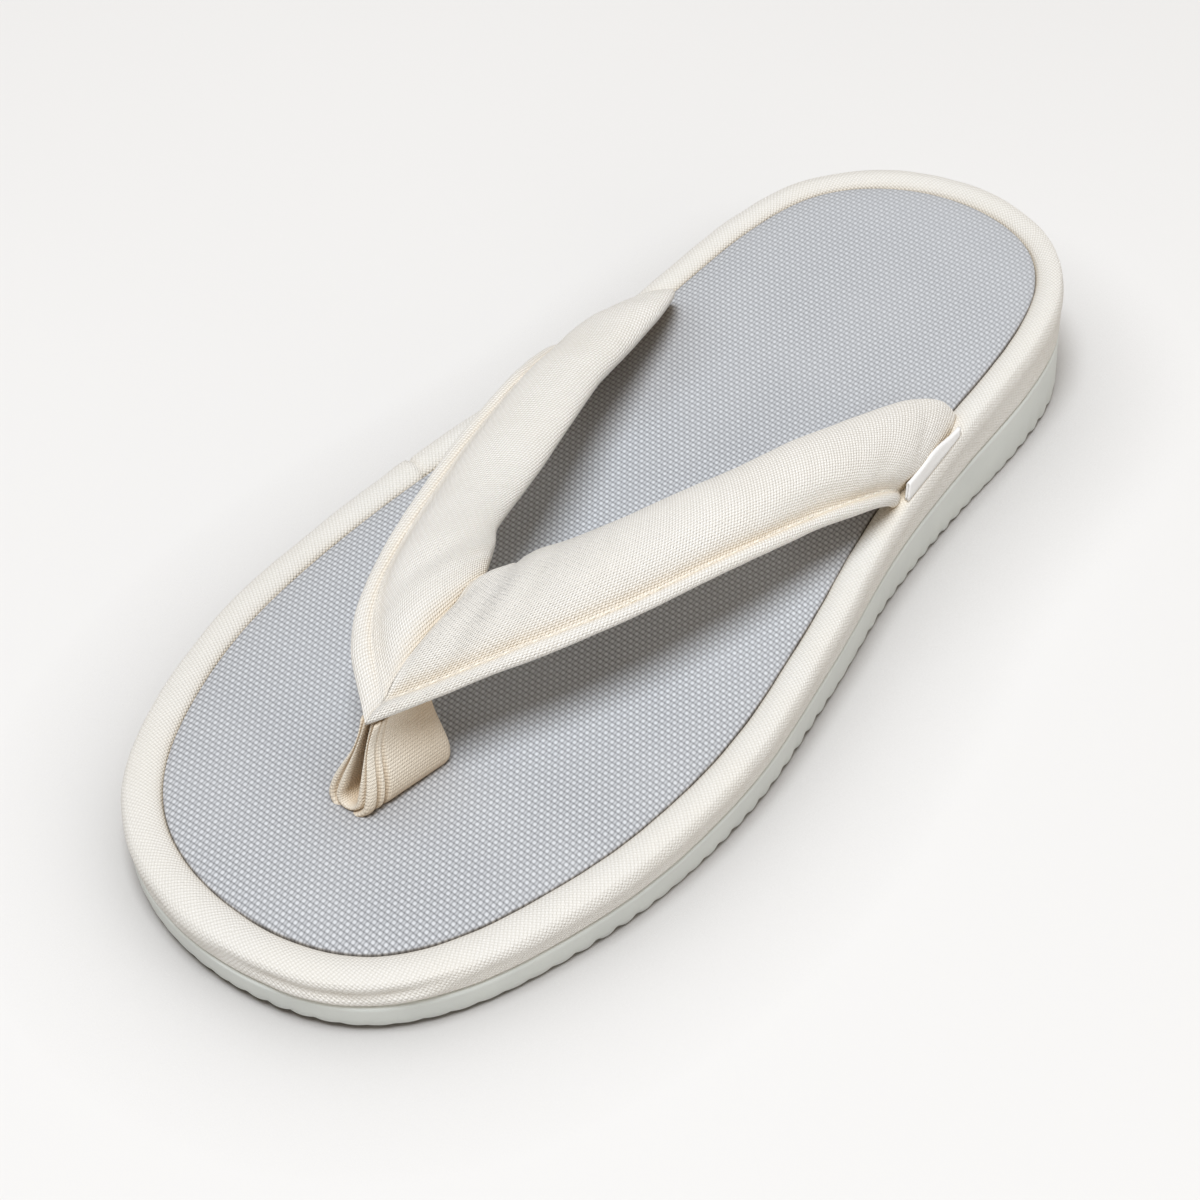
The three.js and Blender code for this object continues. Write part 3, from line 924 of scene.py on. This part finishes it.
def scallops(ring):
    """Depth of the uneven notches round the lower edge of the sole."""
    length = np.linalg.norm(np.roll(ring, -1, 0) - ring, axis=1).cumsum()
    count = round(length[-1] / SCALLOP_PITCH)
    turns = count * length / length[-1] + SCALLOP_DRIFT * np.sin(length / SCALLOP_DRIFT_LENGTH)
    edge = np.abs(2 * (turns % 1) - 1)
    slow, quick = SCALLOP_CHANGE_LENGTHS
    uneven = SCALLOP_MEAN + SCALLOP_CHANGE * np.sin(length / slow + 1) * np.sin(length / quick)
    kept = 1 - (1 - SCALLOP_TOE_SHARE) * smooth(*SCALLOP_TOE_FADE, ring[:, 0])
    return SCALLOP_DEPTH * uneven * kept * edge**2


def level_lid(shell, ring, height, columns=2):
    """A lid whose points stand at a height that depends on x."""

    def level(points):
        points[..., 2] = height(points[..., 0])
        return points

    shell.add_lid(ring, columns, level, flat_uv)


def outsole():
    """Foam sole with a notched lower edge and a rippled tread."""
    side = OUTSOLE_INSET
    rings = ring_stack(OUTSOLE_STEPS, [
        (side + 0.9, floor_height),
        (side + 0.2, above(floor_height, 0.6)),
        (side, above(floor_height, 2.0)),
        (side, partway(floor_height, outsole_top, 0.5)),
        (side, above(outsole_top, -1.4)),
        (side, above(outsole_top, -0.5)),
        (side + 0.5, outsole_top),
    ])
    _, inward = outline(OUTSOLE_STEPS)
    for ring, share in zip(rings, SCALLOP_RINGS):
        notch = share * scallops(ring)
        ring[:, :2] += SCALLOP_INSET * inward * notch[:, None]
        ring[:, 2] += notch
    shell = Shell()
    index = shell.add_points(rings)
    shell.add_quads(wrap(index), *hoop_uv(rings))

    def grooved(points):
        points[..., 2] = floor_height(points[..., 0]) + tread(points)
        return points

    shell.add_lid(index[0], TREAD_COLUMNS, grooved, flat_uv)
    level_lid(shell, index[-1], outsole_top)
    return shell


def rim_seam(points):
    """The lapped join of the wrap strip on the inner side."""
    x, y = points[..., 0], points[..., 1]
    line = SEAM_X + SEAM_LEAN * (y - SEAM_Y)
    off = np.where(y < 0, x - line, SEAM_FAR)
    groove = -SEAM_DEPTH * bell(off / SEAM_WIDTH)
    lap = SEAM_LAP * smooth(0, SEAM_WIDTH, off) * (1 - smooth(*SEAM_LAP_FADE, off))
    return groove + lap


def toe_wrinkles(points):
    """Rise of the folds round the toe."""
    x, y, z = points[..., 0], points[..., 1], points[..., 2]
    total = np.zeros(x.shape)
    for at_x, at_y, rise, length, width, depth in TOE_WRINKLES:
        along = np.hypot(x - at_x, y - at_y)
        level = z - edge_height(x) - rise
        total -= depth * bell(along / length) * bell(level / width)
    return total


def midsole():
    """Wrapped wedge: a wall, the roll over its upper edge, the rim, and the recess for the insole."""
    rings = ring_stack(WRAP_STEPS, [
        (1.1, above(outsole_top, GAP)),
        (0.4, above(outsole_top, GAP + 0.4)),
        (0.3, above(partway(outsole_top, roll_height, 0.5), 0.3)),
        (ROLL_CREASE, roll_height),
        (0.2, partway(roll_height, edge_height, 0.3)),
        (0.0, partway(roll_height, edge_height, 0.65)),
        *[(inset, above(edge_height, RIM_CROWN * share)) for inset, share in RIM_LAYERS],
        (RIM_WIDTH, above(edge_height, -0.9)),
        (RIM_WIDTH, above(edge_height, -RECESS_DEPTH)),
    ], RING_STEPS)
    shift = lumpy(rings, WRAP_LUMPS) + rim_seam(rings) + toe_wrinkles(rings)
    way = np.linspace(0, 1, len(rings))
    hold = smooth(*WRAP_RISE, way) * (1 - smooth(*WRAP_FADE, way))
    rings += round_normals(rings) * (shift * hold[:, None])[..., None]
    shell = Shell()
    index = shell.add_points(rings)
    shell.add_quads(wrap(index), *hoop_uv(rings))
    level_lid(shell, index[0], above(outsole_top, GAP))
    level_lid(shell, index[-1], above(edge_height, -RECESS_DEPTH))
    return shell


def insole():
    """Domed pad that fills the recess inside the rim."""
    side = RIM_WIDTH + INSOLE_SLACK
    bed = above(edge_height, GAP - RECESS_DEPTH)
    rings = ring_stack(INSOLE_STEPS, [
        (side, bed),
        (side, above(edge_height, -0.35)),
        *[(inset, above(edge_height, INSOLE_DOME * share)) for inset, share in DOME_LAYERS],
    ], RING_STEPS)
    shell = Shell()
    index = shell.add_points(rings)
    u, v = np.moveaxis(wrap(rings)[..., :2] * MM, -1, 0)
    shell.add_quads(wrap(index), u, v)
    level_lid(shell, index[0], bed)
    level_lid(shell, index[-1], above(edge_height, INSOLE_DOME), DOME_COLUMNS)
    return shell


def strap_rows(table, at):
    """Front edge, back edge and padding at fractional row numbers."""
    padded = np.vstack([2 * table[0] - table[1], table, 2 * table[-1] - table[-2]])
    k = np.clip(np.floor(at).astype(int), 0, len(table) - 2)
    rows = catmull(*[padded[k + n] for n in range(4)], (at - k)[..., None])
    return rows[..., 0:3], rows[..., 3:6], rows[..., 6:7]


def strap_points(table, side, at, share, height):
    """Points of one strap at row numbers at, for shares across and heights."""
    front, back, pad = strap_rows(table, at)
    last = len(table) - 1

    def middle(row):
        edges = strap_rows(table, np.clip(row, 0, last))
        return 0.5 * (edges[0] + edges[1])

    square = np.array([0.0, side, 0.0])
    along = unit(middle(at + SLOPE_STEP) - middle(at - SLOPE_STEP))
    along = square + (along - square) * smooth(0, SQUARE_ROWS, at)[..., None]
    across = back - front
    up = side * unit(np.cross(along, across))
    if side < 0:
        drop = 1 - MITRE_TUCK * bell(at / MITRE_TUCK_SPREAD)
        lap = 0
    else:
        drop = 1 - MITRE_ROUND * bell(at / MITRE_ROUND_SPREAD)
        ear = EAR_REACH * smooth(*EAR_SHARES, share) * bell(at / EAR_SPREAD)
        lap = ear + MITRE_LAP * smooth(*MITRE_LAP_SHARES, share) * bell(at / MITRE_LAP_SPREAD)
    lift = np.where(height > 0, height * drop, height)
    points = front + across * share[..., None] + up * pad * lift[..., None]
    points[..., 1] -= lap
    return points


def sole_surface(points):
    """Height of the rim and insole under each point."""
    ring, _ = outline(SURFACE_STEPS)
    flat = points.reshape(-1, 3)
    inset = np.array([np.hypot(*(ring - p[:2]).T).min() for p in flat]) / inset_scale(flat[:, 0])
    rise = np.interp(inset, SOLE_PROFILE[:, 0], SOLE_PROFILE[:, 1])
    return (edge_height(flat[:, 0]) + rise).reshape(points.shape[:-1])


def strap_section():
    """The section once round, smoothed: shares across and heights."""
    table = STRAP_SECTION
    fine = []
    for k in range(len(table)):
        rows = [table[(k + n) % len(table)] for n in (-1, 0, 1, 2)]
        fine.extend(catmull(*rows, t) for t in np.arange(SECTION_STEPS) / SECTION_STEPS)
    return np.array(fine).T


def seat_rows(table, side, share, height):
    """Row number at which each line of the strap comes down to the sole."""
    last = len(table) - 1
    rows = np.linspace(SEAT_START, last, SEAT_STEPS)
    at = np.repeat(rows[:, None], len(share), axis=1)
    points = strap_points(table, side, at, share, height)
    clear = points[..., 2] - sole_surface(points) - GAP
    ends = np.full(len(share), float(last))
    for j, column in enumerate(clear.T):
        under = np.flatnonzero(column < 0)
        if len(under) and under[0] > 0:
            n = under[0]
            part = column[n - 1] / (column[n - 1] - column[n])
            ends[j] = rows[n - 1] + part * (rows[n] - rows[n - 1])
    return ends


def strap_arm(table, side, forms):
    """Rings of one strap from the mitre to its seat, and how far each point is moved."""
    share, height = strap_section()
    ends = seat_rows(table, side, share, height)
    last = len(table) - 1
    t = np.linspace(0, 1, STRAP_STEPS + 1)[:, None] ** STRAP_POWER
    at = t * last - (last - ends) * t**SEAT_POWER
    rings = strap_points(table, side, at, share, height)
    shift = np.zeros(at.shape)
    for row, across, spread_row, spread_across, rise in forms:
        form = rise * bell((at - row) / spread_row) * bell((share - across) / spread_across)
        shift += np.where(height > FORMS_LOWEST, form, 0)
    pull = np.sin(2 * math.pi * at * ROW_LENGTH / STITCH_PITCH)
    pucker = PUCKER_HEIGHT * pull * bell((share - PUCKER_SHARE) / PUCKER_SPREAD)
    shift += np.where(height > 0, pucker, 0)
    return rings, shift


def straps():
    """Both padded straps as one sleeve, from the inner seat over the mitre to the outer seat."""
    outer, outer_shift = strap_arm(OUTER_STRAP, 1, OUTER_FORMS)
    inner, inner_shift = strap_arm(INNER_STRAP, -1, INNER_FORMS)
    rings = np.concatenate([inner[::-1], outer])
    shift = np.concatenate([inner_shift[::-1], outer_shift]) + lumpy(rings, STRAP_LUMPS)
    number = np.arange(len(rings))
    hold = np.minimum(1, np.minimum(number, number[::-1]) / END_RINGS)
    rings += round_normals(rings) * (shift * hold[:, None])[..., None]
    return sleeve(rings)


def add_tube(shell, path, radius):
    """A closed round thread along a path, with a radius for each of its points."""
    along = unit(np.gradient(path, axis=0))
    first = unit(np.cross(along, STITCH_ASIDE))
    second = np.cross(along, first)
    angle = np.arange(STITCH_SIDES) * 2 * math.pi / STITCH_SIDES
    ring = first[:, None] * np.cos(angle)[:, None] + second[:, None] * np.sin(angle)[:, None]
    rings = path[:, None] + ring * radius[:, None, None]
    index = shell.add_points(rings)
    shell.add_quads(wrap(index), *sleeve_uv(rings))
    tips = shell.add_points(path[[0, -1]])
    for tip, loop in zip(tips, (index[0], index[-1])):
        shell.add_fan(tip, [*loop, loop[0]], flat_uv)


def stitches():
    """Stitches along the valley beside the flange of the outer strap."""
    share = np.array([VALLEY_SHARE])
    height = np.array([VALLEY_HEIGHT])
    end = seat_rows(OUTER_STRAP, 1, share, height)[0]
    at = np.linspace(STITCH_FIRST_ROW, end - STITCH_END_ROWS, STITCH_LINE_STEPS)[:, None]
    line = strap_points(OUTER_STRAP, 1, at, share, height)[:, 0]
    length = run_lengths(line, 0) / MM
    part = np.linspace(0, 1, STITCH_POINTS)
    off_middle = 2 * part - 1
    radius = STITCH_RADIUS * np.sqrt(1 + STITCH_TIP - off_middle**2)
    shell = Shell()
    for start in np.arange(0, length[-1] - STITCH_LENGTH, STITCH_PITCH):
        spot = start + part * STITCH_LENGTH
        path = np.column_stack([np.interp(spot, length, line[:, n]) for n in range(3)])
        path[:, 2] -= STITCH_SINK * off_middle**4
        add_tube(shell, path, radius)
    return shell


def between(first, last, share):
    """Points on the straight line from first to last."""
    first, last = np.array(first), np.array(last)
    return first + (last - first) * share[..., None]


def post_path():
    """The loop seen from the front, outside and in the slot: share of the way up, sideways place."""
    side = np.linspace(1, POST_ROUND, POST_SIDE_STEPS, endpoint=False)
    arc = np.linspace(0, math.pi, POST_ARC_STEPS + 1)

    def run(round_at, round_size, half):
        lift = np.concatenate([side, round_at - round_size * np.sin(arc), side[::-1]])
        turn = np.concatenate([-np.ones(len(side)), -np.cos(arc), np.ones(len(side))])
        return np.column_stack([lift, turn * half(lift)])

    def half(lift):
        straight = POST_HALF_BASE + (POST_HALF_TOP - POST_HALF_BASE) * lift
        return straight + POST_BELLY * np.sin(2 * math.pi * np.clip(lift, 0, 1))

    def slot_half(lift):
        return POST_SLOT_HALF * (1 - POST_SLOT_TAPER * lift)

    outside = run(POST_ROUND, POST_ROUND, half)
    inside = run(POST_ROUND + POST_SLOT_LIFT, POST_SLOT_ROUND, slot_half)
    return outside, inside


def toe_post():
    """A doubled strip folded into a loop, with two grooves in its outer face and hemmed edges."""
    face = np.linspace(0, 1, POST_FACE_STEPS + 1)
    fold = POST_GROOVE_DEPTH * sum(bell((face - groove) / POST_GROOVE_WIDTH) for groove in POST_GROOVES)
    hem = np.linspace(0, 1, POST_HEM_STEPS + 1)
    lobes = POST_HEM * np.sqrt(np.abs(np.sin(2 * math.pi * hem)))
    front_hem = fold[0] + (1 - fold[0]) * hem
    share = np.concatenate([face[:-1], 1 + lobes[:-1], face[:0:-1], -lobes[:0:-1]])
    depth = np.concatenate([fold[:-1], hem[:-1], np.ones(POST_FACE_STEPS), front_hem[:0:-1]])
    outside, inside = post_path()
    place = outside[:, None] + (inside - outside)[:, None] * depth[:, None]
    foot = np.clip(1 - place[..., 0] / (2 * POST_ROUND), 0, 1)
    share = share - POST_CORNER * foot**2 * share
    top = between(POST_TOP_FRONT, POST_TOP_REAR, share)
    base = between(POST_BASE_FRONT, POST_BASE_REAR, share)
    rings = base + (top - base) * place[..., :1]
    rings[..., 1] += place[..., 1]
    shell = Shell()
    index = shell.add_points(rings)
    shell.add_quads(wrap(index), *sleeve_uv(rings))
    for ring in (index[0], index[-1]):
        middle = shell.add_points(shell.points[ring].mean(axis=0)[None])[0]
        shell.add_fan(middle, [*ring, ring[0]], flat_uv)
    return shell


def label():
    """A blank tape folded over its top edge, beside the end of the outer strap."""
    front, back, _ = strap_rows(OUTER_STRAP, np.array(len(OUTER_STRAP) - 1.0))
    arc = np.linspace(0, math.pi, LABEL_ARC_STEPS + 1)
    half = LABEL_THICK / 2
    shoulder = LABEL_HEIGHT - half

    def hairpin(reach):
        rise = np.linspace(0, shoulder, LABEL_SIDE_POINTS)
        up = np.column_stack([np.full(LABEL_SIDE_POINTS, half + reach), rise])
        over = np.column_stack([half + reach * np.cos(arc), shoulder + reach * np.sin(arc)])
        down = up[::-1] - (2 * reach, 0)
        return np.concatenate([up[:-1], over, down[1:]])

    loop = np.concatenate([hairpin(half), hairpin(half - LABEL_PLY)[::-1]])
    rings = []
    for share in np.linspace(LABEL_START, LABEL_END, LABEL_STEPS):
        spot = front + (back - front) * share
        foot = sole_surface(spot + (0, LABEL_OFFSET + half, 0)) + GAP
        rise = loop[:, 1] * (1 - LABEL_TAPER * smooth(LABEL_TAPER_START, LABEL_END, share))
        lean = (LABEL_WAVE * math.sin(LABEL_WAVE_TURN * share) - LABEL_LEAN) * rise / LABEL_HEIGHT
        x = spot[0] - LABEL_SHEAR * rise / LABEL_HEIGHT
        rings.append(np.column_stack([x, spot[1] + LABEL_OFFSET + loop[:, 0] + lean, foot + rise]))
    return sleeve(np.array(rings))


def lay_floor():
    mesh = bpy.data.meshes.new("floor")
    corners = [(x * FLOOR_HALF, y * FLOOR_HALF, 0) for x, y in ((-1, -1), (1, -1), (1, 1), (-1, 1))]
    mesh.from_pydata(corners, [], [(0, 1, 2, 3)])
    mesh.materials.append(floor_paint("floor_paint"))
    floor = bpy.data.objects.new("floor", mesh)
    bpy.context.scene.collection.objects.link(floor)


def aim(thing, place, target):
    """Put a lamp or the camera in its place, looking at the target."""
    thing.location = Vector(place) * MM
    direction = (Vector(target) - Vector(place)).normalized()
    thing.rotation_mode = "QUATERNION"
    thing.rotation_quaternion = direction.to_track_quat("-Z", "Y")
    bpy.context.scene.collection.objects.link(thing)


def set_lights():
    for name, place, size, watts, tint in LIGHTS:
        lamp = bpy.data.lights.new(name, "AREA")
        lamp.shape = "DISK"
        lamp.size = size
        lamp.energy = watts
        lamp.color = tint
        aim(bpy.data.objects.new(name, lamp), place, (0, 0, 0))
    world = bpy.data.worlds.new("studio")
    world.use_nodes = True
    sky = world.node_tree.nodes["Background"]
    sky.inputs["Color"].default_value = SKY_TINT
    sky.inputs["Strength"].default_value = SKY_STRENGTH
    bpy.context.scene.world = world
    bpy.context.scene.view_settings.view_transform = "Standard"


def set_camera():
    camera = bpy.data.cameras.new("camera")
    camera.lens = CAMERA_LENS
    camera.sensor_width = CAMERA_SENSOR
    camera.clip_start = CAMERA_NEAR
    thing = bpy.data.objects.new("camera", camera)
    aim(thing, CAMERA_PLACE, CAMERA_TARGET)
    bpy.context.scene.camera = thing


materials = {
    "insole": woven("insole_weave"),
    "foam": foam("sole_foam"),
    "tape": tape("label_tape_cloth"),
    "thread": thread("sewing_thread"),
}
for canvas_row in CANVASES:
    materials[canvas_row[0]] = canvas(*canvas_row)

# Columns: piece, its shell, material, CAD node that it replaces, material slot.
pieces = [
    ("foam_outsole", outsole(), "foam", "outsole", "foam_rubber"),
    ("canvas_midsole", midsole(), "wrap", "midsole", "canvas_wrap"),
    ("woven_insole", insole(), "insole", "insole", "woven_cloth"),
    ("padded_straps", straps(), "strap", "strap", "canvas_strap"),
    ("strap_stitches", stitches(), "thread", None, "canvas_strap"),
    ("toe_post_loop", toe_post(), "post", "toe_post", "canvas_post"),
    ("blank_label", label(), "tape", "side_label", "label_tape"),
]
for name, shell, material, node, slot in pieces:
    piece = shell.make(name, materials[material])
    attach(piece, "root")
    if node:
        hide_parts(node)

lay_floor()
set_lights()
set_camera()
